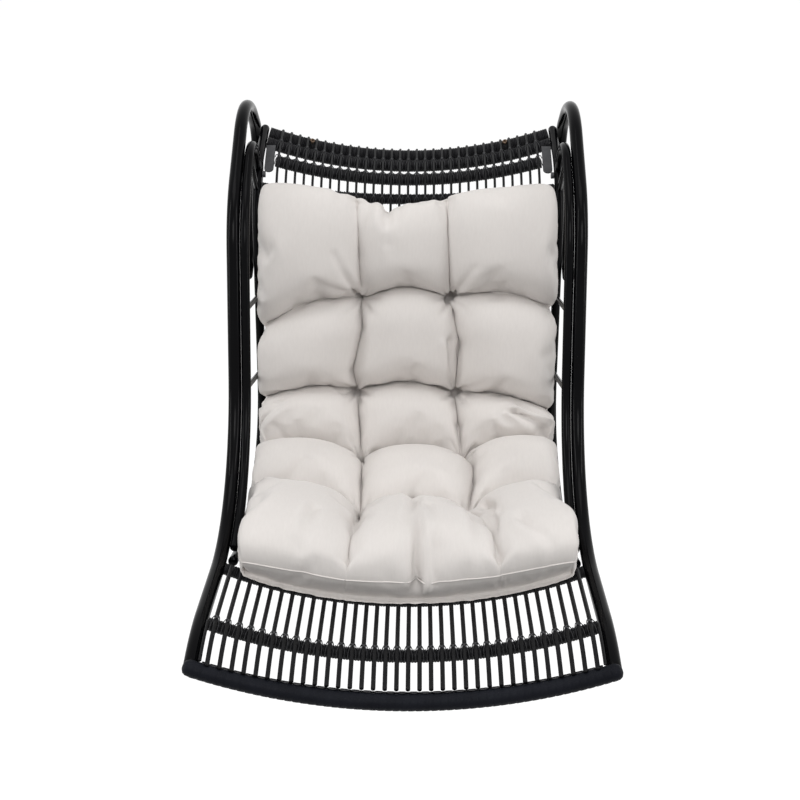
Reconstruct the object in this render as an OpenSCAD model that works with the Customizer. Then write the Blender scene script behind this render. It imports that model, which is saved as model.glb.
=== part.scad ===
// Seat of a hanging egg chair: a shell of bent rods between two tube sides, with a tufted cushion.
// Millimetres. +X is to the right, +Y to the back and +Z up. The origin is midway between the tops
// of the two outer hoops, where the suspension holds the seat.

/* [Tubes] */
// Diameter of the outer hoops
hoop_d = 25; // [20:1:28]
// Diameter of the inner hoops
inner_hoop_d = 18; // [14:1:19]
// Diameter of the shell's side tubes
side_tube_d = 18; // [14:1:20]
// Distance from the middle of the seat to an outer hoop's centreline
hoop_x = 327.5; // [300:0.5:400]
// Play between pieces that lie against each other
seat_gap = 0.3; // [0.2:0.05:0.4]

/* [Shell outline, from the front up to the top] */
// Height of the hoop's centreline at the front, above its lowest stretch
front_z = 37.7; // [20:1:60]
// Distance of the front rail in front of that lowest stretch
front_y = 360; // [320:1:400]
// Radius of the front lip
lip_r = 387; // [300:1:500]
// Straight stretch behind the lip
lip_run = 146.6; // [120:1:180]
// Radius of the step down behind the lip
step_r = 200; // [150:1:260]
// Straight stretch down into the seat
seat_run = 83.5; // [60:1:110]
// Radius of the seat's bowl
bowl_r = 423.6; // [360:1:500]
// Radius of the bend from the seat to the back
bend_r = 171; // [150:1:220]
// Straight stretch of the back
back_run = 308.5; // [260:1:380]
// Radius of the roll at the head
roll_r = 164; // [140:1:200]
// Straight stretch behind the roll
head_run = 100; // [96:1:120]
// How far the middle of the shell hangs below its sides
sag = 58; // [35:1:75]

/* [Hoop outline, behind the lip] */
// Straight stretch of the hoop along the seat
hoop_seat_run = 144; // [120:1:170]
// Radius of the hoop's bend from the seat to the arm
hoop_bend_r = 316; // [280:1:360]
// Straight stretch of the arm
hoop_arm_run = 242; // [200:1:290]
// Radius of the hoop's shoulder
hoop_shoulder_r = 213; // [180:1:260]
// Straight stretch between the shoulder and the top
hoop_top_run = 118; // [90:1:150]
// Radius of the hoop's top
hoop_top_r = 161; // [130:1:190]
// Radius of the bend into the rear leg
hoop_rear_r = 80; // [70:1:90]
// Length of the rear leg
rear_leg_run = 262; // [250:1:275]

/* [Rails] */
// Diameter of the cross rails with their winding
rail_d = 20; // [14:1:22]
// Diameter of the top rail
top_rail_d = 28; // [22:1:30]
// Diameter of the front rail
front_rail_d = 27; // [24:1:30]

/* [Strands] */
// Diameter of a strand in the seat and the back
strand_d = 5.2; // [3:0.1:7]
// Diameter of a strand in the front panel
front_strand_d = 7.6; // [5:0.1:8]
// Number of strands in the seat and the back
strand_count = 31; // [21:2:31]
// Distance between two of them
strand_pitch = 17.8; // [16:0.1:18]
// Number of strands in the front panel
front_count = 34; // [24:2:34]
// Distance between two of them
front_pitch = 18.2; // [16:0.1:18.4]

/* [Fittings] */
// Thickness of a corner bracket
bracket_t = 3; // [2:0.5:4]
// Width of a corner bracket
bracket_w = 19; // [12:0.5:19]
// Length of a corner bracket
bracket_l = 78; // [60:1:84]
// Diameter of a bracket's bolt head
bolt_d = 13; // [10:0.5:15]
// Thickness of a bolt head
bolt_h = 6; // [4:0.5:8]
// Diameter of a round nut on the top rail
nut_d = 10; // [8:0.5:10.5]
// Thickness of that nut
nut_h = 6; // [4:0.5:8]
// Distance of a nut from the middle of the seat
nut_x = 204.7; // [190:0.1:215]

/* [Cushion] */
// Half of the cushion's width
cushion_half_w = 300; // [270:1:303]
// Thickness at its crown
cushion_t = 92; // [70:1:100]
// Thickness at its edge
cushion_edge_t = 34; // [25:1:40]
// Where its front edge lies, as a length along the shell from the front rail
cushion_start = 245; // [235:1:300]
// Its length, measured along the shell
cushion_l = 1045; // [900:1:1055]
// Depth of its sewn lines
groove_d = 24; // [10:1:30]
// Depth of a tuft below those lines
tuft_d = 16; // [5:1:20]

/* [Hidden] */
$fn = 48;
// Steps of a long arc in a whole turn, and of a bar's round section
arc_fn = 360;
round_fn = 32;
// How far the dressed weld between two stretches of a bar stands proud
bead = 0.1;

black = "#1c1c20";
strand_black = "#26262a";
grey = "#5a5a5e";
brass = "#8a6a4a";
cloth = "#d9d4ce";

hoop_r = hoop_d / 2;
inner_hoop_r = inner_hoop_d / 2;
side_tube_r = side_tube_d / 2;
rail_r = rail_d / 2;
strand_r = strand_d / 2;
front_strand_r = front_strand_d / 2;
// A side tube and an inner hoop lie against the inner side of their hoop.
side_x = hoop_x - hoop_r - seat_gap - side_tube_r;
inner_hoop_x = hoop_x - hoop_r - seat_gap - inner_hoop_r;
// A strand of radius r lies on the rails when its middle is this far above theirs.
function lift(r) = rail_r + seat_gap + r;

// A path is a list of stretches: [length, 0] is straight, and [radius, turn] is an arc that turns
// by that many degrees, upward where the turn is positive. A state is [y, z, heading].
lip_heading = 9;
hoop_heading = -10;
seat_heading = -23;
bowl_heading = 24;
back_heading = 77.5;
head_heading = 10;
arm_heading = 68.3;
top_heading = 30;
rear_heading = -41;
leg_heading = -156;
rear_top_run = 40;

front = [-front_y, front_z, lip_heading];
shell = [
    [lip_r, hoop_heading - lip_heading],
    [lip_run, 0],
    [step_r, seat_heading - hoop_heading],
    [seat_run, 0],
    [bowl_r, bowl_heading - seat_heading],
    [bend_r, back_heading - bowl_heading],
    [back_run, 0],
    [roll_r, head_heading - back_heading],
    [head_run, 0],
];
LIP = 0;
LIP_RUN = 1;
STEP = 2;
SEAT_RUN = 3;
BOWL = 4;
BEND = 5;
BACK = 6;
ROLL = 7;
HEAD = 8;

hoop = [
    [lip_r, hoop_heading - lip_heading],
    [hoop_seat_run, 0],
    [hoop_bend_r, arm_heading - hoop_heading],
    [hoop_arm_run, 0],
    [hoop_shoulder_r, top_heading - arm_heading],
    [hoop_top_run, 0],
    [hoop_top_r, rear_heading - top_heading],
    [rear_top_run, 0],
    [hoop_rear_r, leg_heading - rear_heading],
    [rear_leg_run, 0],
];
HOOP_BEND = 2;
HOOP_ARM = 3;
HOOP_TOP_RUN = 5;
HOOP_TOP = 6;

function stretch_length(s) = s[1] == 0 ? s[0] : s[0] * abs(s[1]) * PI / 180;

// The state after the share t of stretch s, from state p
function along(p, s, t) =
    s[1] == 0
    ? [p[0] + t * s[0] * cos(p[2]), p[1] + t * s[0] * sin(p[2]), p[2]]
    : let (a = t * s[1], side = sign(s[1]))
      [p[0] + side * s[0] * (sin(p[2] + a) - sin(p[2])),
       p[1] - side * s[0] * (cos(p[2] + a) - cos(p[2])),
       p[2] + a];

// The state where stretch i of a path begins
function state(start, path, i) = i == 0 ? start : along(state(start, path, i - 1), path[i - 1], 1);

// The state at the share t of stretch i
function at(start, path, i, t) = along(state(start, path, i), path[i], t);

// The state at a length from the start
function at_length(p, path, length, i = 0) =
    let (l = stretch_length(path[i]))
    length <= l || i == len(path) - 1
    ? along(p, path[i], length / l)
    : at_length(along(p, path[i], 1), path, length - l, i + 1);

// A state moved sideways, outward where d is positive: down from the seat and behind the back
function beside(p, d) = [p[0] + d * sin(p[2]), p[1] - d * cos(p[2]), p[2]];

// A path moved sideways by d, with the same headings
function path_beside(path, d) = [for (s = path) s[1] == 0 ? s : [s[0] + sign(s[1]) * d, s[1]]];

// How far the shell hangs below its sides at a distance x from the middle, or a skin that lies
// lift above it, measured square to the shell
dish_r = (side_x * side_x + sag * sag) / (2 * sag);
function dish(x, lift = 0) = sqrt(pow(dish_r - lift, 2) - x * x) - dish_r + sag;

// The hoops' top, which is the origin
top = at(front, hoop, HOOP_TOP, top_heading / (top_heading - rear_heading));

// Draws what is made in the outline's own plane, where the local x is the object's +Y and the
// local y its +Z, at a distance x from the middle
module in_plane(x) {
    translate([x, -top[0], -top[1]]) rotate([90, 0, 90]) children();
}

// A round bar of radius r along a path
module bar(start, path, r) {
    for (i = [0 : len(path) - 1]) {
        p = state(start, path, i);
        s = path[i];
        if (i > 0)
            translate([p[0], p[1], 0]) rotate([0, 0, p[2]]) rotate([0, 90, 0])
                sphere(r + bead, $fn = round_fn);
        if (s[1] == 0) {
            translate([p[0], p[1], 0]) rotate([0, 0, p[2]]) rotate([90, 0, 90])
                linear_extrude(s[0]) circle(r, $fn = round_fn);
        } else {
            side = sign(s[1]);
            translate([p[0] - side * s[0] * sin(p[2]), p[1] + side * s[0] * cos(p[2]), 0])
                rotate([0, 0, p[2] - side * 90 + (side < 0 ? s[1] : 0)])
                    rotate_extrude(angle = abs(s[1]), $fn = arc_fn)
                        translate([s[0], 0]) circle(r, $fn = round_fn);
        }
    }
}

// Draws what is made about the middle of the shell's dish at state p, where the local x is the
// object's +X and the local z points away from the shell
module in_dish(p) {
    translate([0, p[0] - top[0], p[1] - top[1]])
        rotate([p[2], 0, 0])
            translate([0, 0, dish_r - sag]) children();
}

// A rail of radius r across the shell at state p, lower than the shell by that much, dished as the
// shell and cut upright at -half and half
module rail(p, r, half, lower = 0) {
    arc_r = dish_r + lower;
    reach = asin(half / arc_r) + 2;
    in_dish(p)
        intersection() {
            rotate([90, 0, 0])
                rotate([0, 0, -90 - reach])
                    rotate_extrude(angle = 2 * reach, $fn = arc_fn)
                        translate([arc_r, 0]) circle(r, $fn = round_fn);
            translate([-half, -2 * r, -arc_r - 2 * r])
                cube([2 * half, 4 * r, sag + 5 * r]);
        }
}

hoop_rail_half = hoop_x - hoop_r - seat_gap;
side_rail_half = side_x - side_tube_r - seat_gap;

// Where the rails lie along the shell
front_seat_share = 0.7;
front_seat_p = at(front, shell, LIP, front_seat_share);
middle_seat_p = at(front, shell, LIP_RUN, 1);
bowl_p = at(front, shell, BOWL, 0.45);
rear_seat_share = 0.57;
rear_seat_p = at(front, shell, BEND, rear_seat_share);
back_p = at(front, shell, BACK, 0.55);
upper_back_p = at(front, shell, ROLL, 0.49);
third_p = at(front, shell, ROLL, 0.91);
second_p = at(front, shell, HEAD, 0.45);
// The top rail is thicker than the others, so it lies lower and the strands still pass over it.
top_rail_run = 88;
top_rail_r = top_rail_d / 2;
front_rail_r = front_rail_d / 2;
top_rail_p = at(front, shell, HEAD, top_rail_run / head_run);
top_rail_lower = top_rail_r - rail_r;

module outer_hoop(side) {
    color(black) in_plane(side * hoop_x) bar(front, hoop, hoop_r);
}

// The inner hoop runs beside the outer one from its bend to its shoulder. Then it turns down
// sooner and ends on the side tube.
inner_share = 0.175;
inner_start = at(front, hoop, HOOP_BEND, inner_share);
inner_top_run = 54;
inner_top_r = 70;
inner_top_turn = -85;
inner_over = [
    [hoop_bend_r, (1 - inner_share) * (arm_heading - hoop_heading)],
    [hoop_arm_run, 0],
    [hoop_shoulder_r, top_heading - arm_heading],
    [inner_top_run, 0],
    [inner_top_r, inner_top_turn],
];
inner_down = state(inner_start, inner_over, len(inner_over));
// It is cut square, so its middle ends this far short of the side tube.
inner_end_gap = 2.2;
// The middle of the shell's roll, and how far the inner hoop goes down to the side tube round it
roll_start = state(front, shell, ROLL);
roll_middle = beside(roll_start, roll_r);
inner_leg_run =
    let (
        w = [inner_down[0] - roll_middle[0], inner_down[1] - roll_middle[1]],
        b = w * [cos(inner_down[2]), sin(inner_down[2])],
        reach = roll_r + side_tube_r
    )
    -b - sqrt(b * b - w * w + reach * reach) - inner_end_gap;
inner_hoop = concat(inner_over, [[inner_leg_run, 0]]);

module inner_hoop(side) {
    color(black) in_plane(side * inner_hoop_x) bar(inner_start, inner_hoop, inner_hoop_r);
}

// A side tube is the shell's outline behind the step, where it leaves the hoop.
side_start = state(front, shell, SEAT_RUN);
side_path = [for (i = [SEAT_RUN : HEAD]) shell[i]];

module side_tube(side) {
    color(black) in_plane(side * side_x) bar(side_start, side_path, side_tube_r);
}

module outer_hoop_left() { outer_hoop(-1); }
module outer_hoop_right() { outer_hoop(1); }
module inner_hoop_left() { inner_hoop(-1); }
module inner_hoop_right() { inner_hoop(1); }
module side_tube_left() { side_tube(-1); }
module side_tube_right() { side_tube(1); }

// Short struts between the side tube and the inner hoop, as [stretch, share] of the two outlines
strut_r = 5;
strut_feet = [[BACK, 0.06], [BACK, 0.58], [ROLL, 0.45]];
strut_heads = [[HOOP_BEND, 0.95], [HOOP_ARM, 0.53], [HOOP_TOP_RUN, 0.53]];
// They meet the tubes at a small slant, so they end this far short of them.
strut_end_gap = 1;

module strut(a, b) {
    d = b - a;
    l = norm(d);
    translate(a) rotate([0, acos(d[2] / l), atan2(d[1], d[0])])
        translate([0, 0, side_tube_r + strut_end_gap])
            cylinder(h = l - side_tube_r - inner_hoop_r - 2 * strut_end_gap, r = strut_r);
}

module hoop_struts(side) {
    color(black)
        for (i = [0 : len(strut_feet) - 1]) {
            a = at(front, shell, strut_feet[i][0], strut_feet[i][1]);
            b = at(front, hoop, strut_heads[i][0], strut_heads[i][1]);
            strut([side * side_x, a[0] - top[0], a[1] - top[1]],
                  [side * inner_hoop_x, b[0] - top[0], b[1] - top[1]]);
        }
}

module hoop_struts_left() { hoop_struts(-1); }
module hoop_struts_right() { hoop_struts(1); }

// A rounded cap closes each hoop's front end, in line with the front rail.
cap_r = front_rail_r;
cap_l = 2 * hoop_r + 4;
// The front rail lies across the hoops' front ends and a little low.
front_rail_drop = 3;
front_rail_p = [front[0] - cap_r - seat_gap, front[1] - front_rail_drop, 0];

module front_cap(side) {
    p = front_rail_p;
    color(black)
        translate([side * (hoop_x - cap_l / 2), p[0] - top[0], p[1] - top[1]])
            rotate([0, side * 90, 0]) {
                cylinder(h = cap_l / 2, r = cap_r);
                translate([0, 0, cap_l / 2]) sphere(cap_r);
            }
}

module front_cap_left() { front_cap(-1); }
module front_cap_right() { front_cap(1); }

module front_rail() {
    color(black) rail(front_rail_p, front_rail_r, hoop_x - cap_l / 2 - seat_gap);
}
module front_seat_rail() { color(black) rail(front_seat_p, rail_r, hoop_rail_half); }
module middle_seat_rail() { color(black) rail(middle_seat_p, rail_r, hoop_rail_half); }
module bowl_rail() { color(black) rail(bowl_p, rail_r, side_rail_half); }
module rear_seat_rail() { color(black) rail(rear_seat_p, rail_r, side_rail_half); }
module back_rail() { color(black) rail(back_p, rail_r, side_rail_half); }
module upper_back_rail() { color(black) rail(upper_back_p, rail_r, side_rail_half); }
module third_rail() { color(black) rail(third_p, rail_r, strand_pitch * (strand_count - 1) / 2 + 6); }
module second_rail() { color(black) rail(second_p, rail_r, side_rail_half); }
module top_rail() { color(black) rail(top_rail_p, top_rail_r, side_rail_half, top_rail_lower); }

// A strand of radius r at distance x from the middle, along a path beside the shell's outline
module strand(x, start, path, r) {
    d = dish(x, lift(r));
    in_plane(x) bar(beside(start, d), path_beside(path, d), r);
}

// The place of strand i of a row of count strands
function strand_x(i, count, pitch) = pitch * (i - (count - 1) / 2);

end_gap = 0.4;
// The front panel's strands reach this share of the lip past the hoops' ends, up to the front rail.
front_share = 0.03;

module front_strands() {
    start = along(front, shell[LIP], -front_share);
    path = [
        [lip_r, (1 + front_share) * (hoop_heading - lip_heading)],
        [lip_run - end_gap, 0],
    ];
    color(strand_black)
        for (i = [0 : front_count - 1])
            strand(strand_x(i, front_count, front_pitch), start, path, front_strand_r);
}

// One more rod lies against each hoop, between the front seat rail and the front rail.
module edge_rods() {
    start = along(front, shell[LIP], -front_share);
    path = [[lip_r, (front_seat_share + front_share) * (hoop_heading - lip_heading)]];
    color(strand_black)
        for (side = [-1, 1])
            strand(side * (hoop_rail_half - seat_gap - strand_r), start, path, strand_r);
}

module seat_strands() {
    start = along(middle_seat_p, [end_gap, 0], 1);
    path = [
        [step_r, seat_heading - hoop_heading],
        [seat_run, 0],
        [bowl_r, bowl_heading - seat_heading],
        [bend_r, rear_seat_share * (back_heading - bowl_heading)],
    ];
    color(strand_black)
        for (i = [0 : strand_count - 1])
            strand(strand_x(i, strand_count, strand_pitch), start, path, strand_r);
}

// The back's strands go over the top rail and down behind it.
wrap_turn = -150;
module back_strands() {
    start_share = rear_seat_share + 0.005;
    start = at(front, shell, BEND, start_share);
    path = [
        [bend_r, (1 - start_share) * (back_heading - bowl_heading)],
        [back_run, 0],
        [roll_r, head_heading - back_heading],
        [top_rail_run, 0],
    ];
    color(strand_black)
        for (i = [0 : strand_count - 1]) {
            x = strand_x(i, strand_count, strand_pitch);
            d = dish(x, lift(strand_r));
            wrap_r = dish(x, -top_rail_lower) - d;
            in_plane(x)
                bar(beside(start, d), concat(path_beside(path, d), [[wrap_r, wrap_turn]]), strand_r);
        }
}

// A tongue of flat bar hangs from the second rail beside each side tube. It starts this far in
// front of the rail and slopes down to the front.
bracket_reach = 4;
bracket_tilt = 24;
module corner_bracket(side) {
    p = second_p;
    end_r = bracket_w / 2;
    color(grey)
        translate([side * (side_rail_half - end_r), p[0] - top[0], p[1] - top[1]])
            rotate([bracket_tilt, 0, 0])
                translate([0, -rail_r - bracket_reach, -bracket_t / 2])
                    linear_extrude(bracket_t) {
                        translate([-end_r, -bracket_l + end_r]) square([bracket_w, bracket_l - end_r]);
                        translate([0, -bracket_l + end_r]) circle(end_r);
                    }
}
module corner_bracket_left() { corner_bracket(-1); }
module corner_bracket_right() { corner_bracket(1); }

// A round head on the inner side of each side tube, just under its bracket
module bracket_bolts() {
    p = at(front, shell, ROLL, 0.64);
    color(grey)
        for (side = [-1, 1])
            translate([side * side_rail_half, p[0] - top[0], p[1] - top[1]])
                rotate([0, -side * 90, 0]) cylinder(h = bolt_h, r = bolt_d / 2);
}

// Nuts on top of the top rail, between two strands, turned a little to the front
nut_tilt = 20;
module top_rail_nuts() {
    arc_r = dish_r + top_rail_lower;
    color(brass)
        for (side = [-1, 1])
            in_dish(top_rail_p)
                rotate([0, -side * asin(nut_x / (arc_r - top_rail_r - nut_h / 2)), 0])
                    translate([0, 0, -arc_r])
                        rotate([nut_tilt, 0, 0])
                            translate([0, 0, top_rail_r + seat_gap])
                                difference() {
                                    cylinder(h = nut_h, r = nut_d / 2);
                                    translate([0, 0, nut_h / 2]) cylinder(h = nut_h, r = nut_d / 4);
                                }
}

// The cushion is a closed form of two skins over a grid, along the shell and across it.
cushion_rows = 40;
cushion_columns = 14;
cushion_lift = lift(front_strand_r) + front_strand_r + 1;
// Sewn lines across the cushion, as shares of its length, and along it, as distances
row_lines = [0.19, 0.40, 0.60, 0.80];
column_line = 88;
line_w = 30;

// 1 on a line and 0 away from it
function near_line(d) = exp(-d * d / (line_w * line_w));
function row_groove(s) = max([for (r = row_lines) near_line((s - r) * cushion_l)]);
function column_groove(x) = near_line(abs(x) - column_line);
// 0 at the rim and 1 inside, with a round shoulder
function shoulder(t) = sqrt(max(0, 1 - pow(abs(t), 5)));

function thickness(s, u) =
    let (x = u * cushion_half_w, r = row_groove(s), c = column_groove(x))
    cushion_edge_t + (cushion_t - cushion_edge_t) * shoulder(u) * shoulder(2 * s - 1)
    - (groove_d * max(r, c) + tuft_d * r * c) * shoulder(u) * shoulder(2 * s - 1);

// The sides are drawn in between the corners.
function drawn_in(s) = cushion_half_w * (1 - 0.03 * sin(180 * s));

function skin_point(i, j, upper) =
    let (
        s = i / cushion_rows,
        u = 2 * j / cushion_columns - 1,
        x = u * drawn_in(s),
        p = at_length(front, shell, cushion_start + s * cushion_l),
        rim = upper ? 0 : 1,
        d = dish(x, cushion_lift) - (upper ? thickness(s, u) : 0)
            - rim * cushion_edge_t * 0.25 * (1 - shoulder(u) * shoulder(2 * s - 1)),
        q = beside(p, d)
    )
    [x, q[0] - top[0], q[1] - top[1]];

module cushion() {
    n = cushion_columns + 1;
    count = (cushion_rows + 1) * n;
    points = [
        for (upper = [true, false], i = [0 : cushion_rows], j = [0 : cushion_columns])
            skin_point(i, j, upper)
    ];
    skins = [
        for (k = [0, 1], i = [0 : cushion_rows - 1], j = [0 : cushion_columns - 1])
            let (a = k * count + i * n + j, b = a + 1, c = a + n, d = c + 1)
            each k == 0 ? [[a, c, b], [b, c, d]] : [[a, b, c], [b, d, c]]
    ];
    ends = [
        for (i = [0, cushion_rows], j = [0 : cushion_columns - 1])
            let (a = i * n + j, b = a + 1, c = a + count, d = c + 1)
            each i == 0 ? [[a, b, c], [b, d, c]] : [[a, c, b], [b, c, d]]
    ];
    sides = [
        for (j = [0, cushion_columns], i = [0 : cushion_rows - 1])
            let (a = i * n + j, b = a + n, c = a + count, d = c + n)
            each j == 0 ? [[a, c, b], [b, c, d]] : [[a, b, c], [b, d, c]]
    ];
    color(cloth) polyhedron(points, concat(skins, ends, sides));
}

outer_hoop_left();
outer_hoop_right();
inner_hoop_left();
inner_hoop_right();
side_tube_left();
side_tube_right();
hoop_struts_left();
hoop_struts_right();
front_cap_left();
front_cap_right();
front_rail();
front_seat_rail();
middle_seat_rail();
bowl_rail();
rear_seat_rail();
back_rail();
upper_back_rail();
third_rail();
second_rail();
top_rail();
front_strands();
edge_rods();
seat_strands();
back_strands();
corner_bracket_left();
corner_bracket_right();
bracket_bolts();
top_rail_nuts();
cushion();
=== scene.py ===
"""Looks of the seat of a hanging egg chair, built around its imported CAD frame.

Blender works in metres. The outline of the shell and the hoops is kept in millimetres and degrees,
as in the CAD, and place() turns a point of it into metres in the object's frame.
"""

import math

import bpy
import numpy as np
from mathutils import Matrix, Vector


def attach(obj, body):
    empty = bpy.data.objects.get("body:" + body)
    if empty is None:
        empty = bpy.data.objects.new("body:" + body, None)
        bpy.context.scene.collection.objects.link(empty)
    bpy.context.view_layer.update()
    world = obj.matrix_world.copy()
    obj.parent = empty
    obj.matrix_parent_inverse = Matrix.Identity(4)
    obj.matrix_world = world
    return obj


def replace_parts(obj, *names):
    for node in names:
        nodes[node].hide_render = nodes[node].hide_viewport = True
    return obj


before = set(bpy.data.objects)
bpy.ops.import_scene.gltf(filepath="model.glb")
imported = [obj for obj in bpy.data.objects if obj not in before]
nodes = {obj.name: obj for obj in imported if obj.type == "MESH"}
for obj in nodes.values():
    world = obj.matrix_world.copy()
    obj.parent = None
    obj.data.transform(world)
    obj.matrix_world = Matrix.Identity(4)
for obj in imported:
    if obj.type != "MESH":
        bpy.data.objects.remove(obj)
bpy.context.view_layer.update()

MM = 0.001
TAU = 2 * math.pi

# ---- The outline, as in the CAD ----

# A path is a list of stretches: (length, 0) is straight, and (radius, turn) is an arc that turns by
# that many degrees, upward where the turn is positive. A state is (y, z, heading).
FRONT = (-360, 37.7, 9)
SHELL = [
    (387, -19),
    (146.6, 0),
    (200, -13),
    (83.5, 0),
    (423.6, 47),
    (171, 53.5),
    (308.5, 0),
    (164, -67.5),
    (100, 0),
]
LIP, LIP_RUN, STEP, SEAT_RUN, BOWL, BEND, BACK, ROLL, HEAD = range(9)
HOOP = [
    (387, -19),
    (144, 0),
    (316, 78.3),
    (242, 0),
    (213, -38.3),
    (118, 0),
    (161, -71),
    (40, 0),
    (80, -115),
    (262, 0),
]
INNER_SHARE = 0.175
INNER_HOOP = [
    (316, (1 - INNER_SHARE) * 78.3),
    (242, 0),
    (213, -38.3),
    (54, 0),
    (70, -85),
    (47.37, 0),
]
# The object's origin in the outline, midway between the tops of the hoops
TOP_Y, TOP_Z = 621.608, 617.066

HOOP_X, HOOP_R = 327.5, 12.5
INNER_X, INNER_R = 305.7, 9
SIDE_X, SIDE_R = 305.7, 9
RAIL_R, TOP_RAIL_R, FRONT_RAIL_R = 10, 14, 13.5
STRAND_R, FRONT_STRAND_R = 2.6, 3.8
PLAY = 0.3
SAG = 58
DISH_R = (SIDE_X**2 + SAG**2) / (2 * SAG)
# Half the width of a rail that ends on the outer hoops, on the side tubes, or short of these
HOOP_RAIL_HALF, SIDE_RAIL_HALF, THIRD_RAIL_HALF = 314.7, 296.4, 273
STRAND_COUNT, STRAND_PITCH = 31, 17.8
FRONT_COUNT, FRONT_PITCH = 34, 18.2
# Shares of the lip by which the edge rods and the front rods start before it
FRONT_SHARE, FRONT_ROD_SHARE = 0.03, 0.08
# Shares of their stretches at which two rails lie
FRONT_SEAT_SHARE = 0.7
REAR_SEAT_SHARE = 0.57
# Between rods that meet end to end: a share of the bend at the rear seat rail, and the mm that
# each keeps from the middle seat rail's place
END_SHARE, END_GAP = 0.005, 0.4
TOP_RAIL_RUN = 88
WRAP_TURN = -150
FRONT_RAIL_DROP = 3


def stretch_length(stretch):
    size, turn = stretch
    return size if turn == 0 else size * math.radians(abs(turn))


def along(state, stretch, share):
    """The state after a share of a stretch."""
    y, z, heading = state
    size, turn = stretch
    start = math.radians(heading)
    if turn == 0:
        return (
            y + share * size * math.cos(start),
            z + share * size * math.sin(start),
            heading,
        )
    side = math.copysign(size, turn)
    end = math.radians(heading + share * turn)
    return (
        y + side * (math.sin(end) - math.sin(start)),
        z - side * (math.cos(end) - math.cos(start)),
        heading + share * turn,
    )


def at(start, path, index, share):
    """The state at a share of one stretch of a path."""
    for stretch in path[:index]:
        start = along(start, stretch, 1)
    return along(start, path[index], share)


def at_length(start, path, length):
    """The state at a length along a path."""
    for stretch in path[:-1]:
        whole = stretch_length(stretch)
        if length <= whole:
            return along(start, stretch, length / whole)
        start = along(start, stretch, 1)
        length -= whole
    return along(start, path[-1], length / stretch_length(path[-1]))


def beside(state, d):
    """A state moved outward by d: down from the seat and behind the back."""
    y, z, heading = state
    a = math.radians(heading)
    return (y + d * math.sin(a), z - d * math.cos(a), heading)


def path_beside(path, d):
    return [(s, t) if t == 0 else (s + math.copysign(d, t), t) for s, t in path]


def dish(x, lift=0):
    """How far the shell, or a skin lying lift above it, hangs below its sides at x."""
    return np.sqrt((DISH_R - lift) ** 2 - x * x) - DISH_R + SAG


def place(x, y, z):
    """A point of the outline in metres, in the object's frame."""
    return np.array([x, y - TOP_Y, z - TOP_Z]) * MM


FRONT_SEAT_P = at(FRONT, SHELL, LIP, FRONT_SEAT_SHARE)
MIDDLE_SEAT_P = at(FRONT, SHELL, LIP_RUN, 1)
BOWL_P = at(FRONT, SHELL, BOWL, 0.45)
REAR_SEAT_P = at(FRONT, SHELL, BEND, REAR_SEAT_SHARE)
BACK_P = at(FRONT, SHELL, BACK, 0.55)
UPPER_BACK_P = at(FRONT, SHELL, ROLL, 0.49)
THIRD_P = at(FRONT, SHELL, ROLL, 0.91)
SECOND_P = at(FRONT, SHELL, HEAD, 0.45)
TOP_RAIL_P = at(FRONT, SHELL, HEAD, TOP_RAIL_RUN / SHELL[HEAD][0])
TOP_RAIL_LOWER = TOP_RAIL_R - RAIL_R
FRONT_RAIL_P = (FRONT[0] - FRONT_RAIL_R - PLAY, FRONT[1] - FRONT_RAIL_DROP, 0)


# ---- Swept meshes ----


def linked(name, data):
    """A new object of the scene."""
    made = bpy.data.objects.new(name, data)
    bpy.context.scene.collection.objects.link(made)
    return made


def smooth(mesh):
    mesh.polygons.foreach_set("use_smooth", [True] * len(mesh.polygons))
    mesh.update()


def directions_along(points):
    tangents = np.gradient(points, axis=0)
    return tangents / np.linalg.norm(tangents, axis=1)[:, None]


def lengths_along(points):
    steps = np.linalg.norm(np.diff(points, axis=0), axis=1)
    return np.concatenate([[0], np.cumsum(steps)])


def forward_and_down(heading):
    """For a state's heading, the directions along the outline and away from the shell."""
    a = math.radians(heading)
    return np.array([0, math.cos(a), math.sin(a)]), np.array([0, math.sin(a), -math.cos(a)])


def path_points(x, start, path, step):
    """Points along a path in the plane at x, in metres, and which way is outward at each."""
    states = [start]
    for stretch in path:
        count = max(1, math.ceil(stretch_length(stretch) / step))
        states += [along(start, stretch, i / count) for i in range(1, count + 1)]
        start = states[-1]
    points = np.array([place(x, y, z) for y, z, _ in states])
    angles = np.radians([heading for _, _, heading in states])
    outward = np.stack([0 * angles, np.sin(angles), -np.cos(angles)], axis=1)
    return points, outward


def rail_points(state, half, lower, step):
    """Points along a dished rail, in metres, and which way is away from the shell at each."""
    y, z, heading = state
    count = math.ceil(2 * half / step)
    x = np.linspace(-half, half, count + 1)
    across = np.array([1, 0, 0])
    _, down = forward_and_down(heading)
    points = place(0, y, z) + MM * (np.outer(x, across) + np.outer(dish(x, -lower), down))
    slope = x / (DISH_R + lower)
    outward = np.outer(slope, across) + np.outer(np.sqrt(1 - slope**2), down)
    return points, outward


def curve_normals(points):
    """For a free curve, a direction square to it at each point that turns as little as it can."""
    tangents = directions_along(points)
    least = np.argmin(np.abs(tangents[0]))
    normal = np.cross(tangents[0], np.eye(3)[least])
    normals = []
    for tangent in tangents:
        normal = normal - tangent * (normal @ tangent)
        normal /= np.linalg.norm(normal)
        normals.append(normal)
    return np.array(normals)


# Rings of the dome at a bar's end: share of the radius, and height as a share of the dome's
DOME = ((0.35, 1.0), (0.75, 0.8), (0.95, 0.45))


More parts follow.
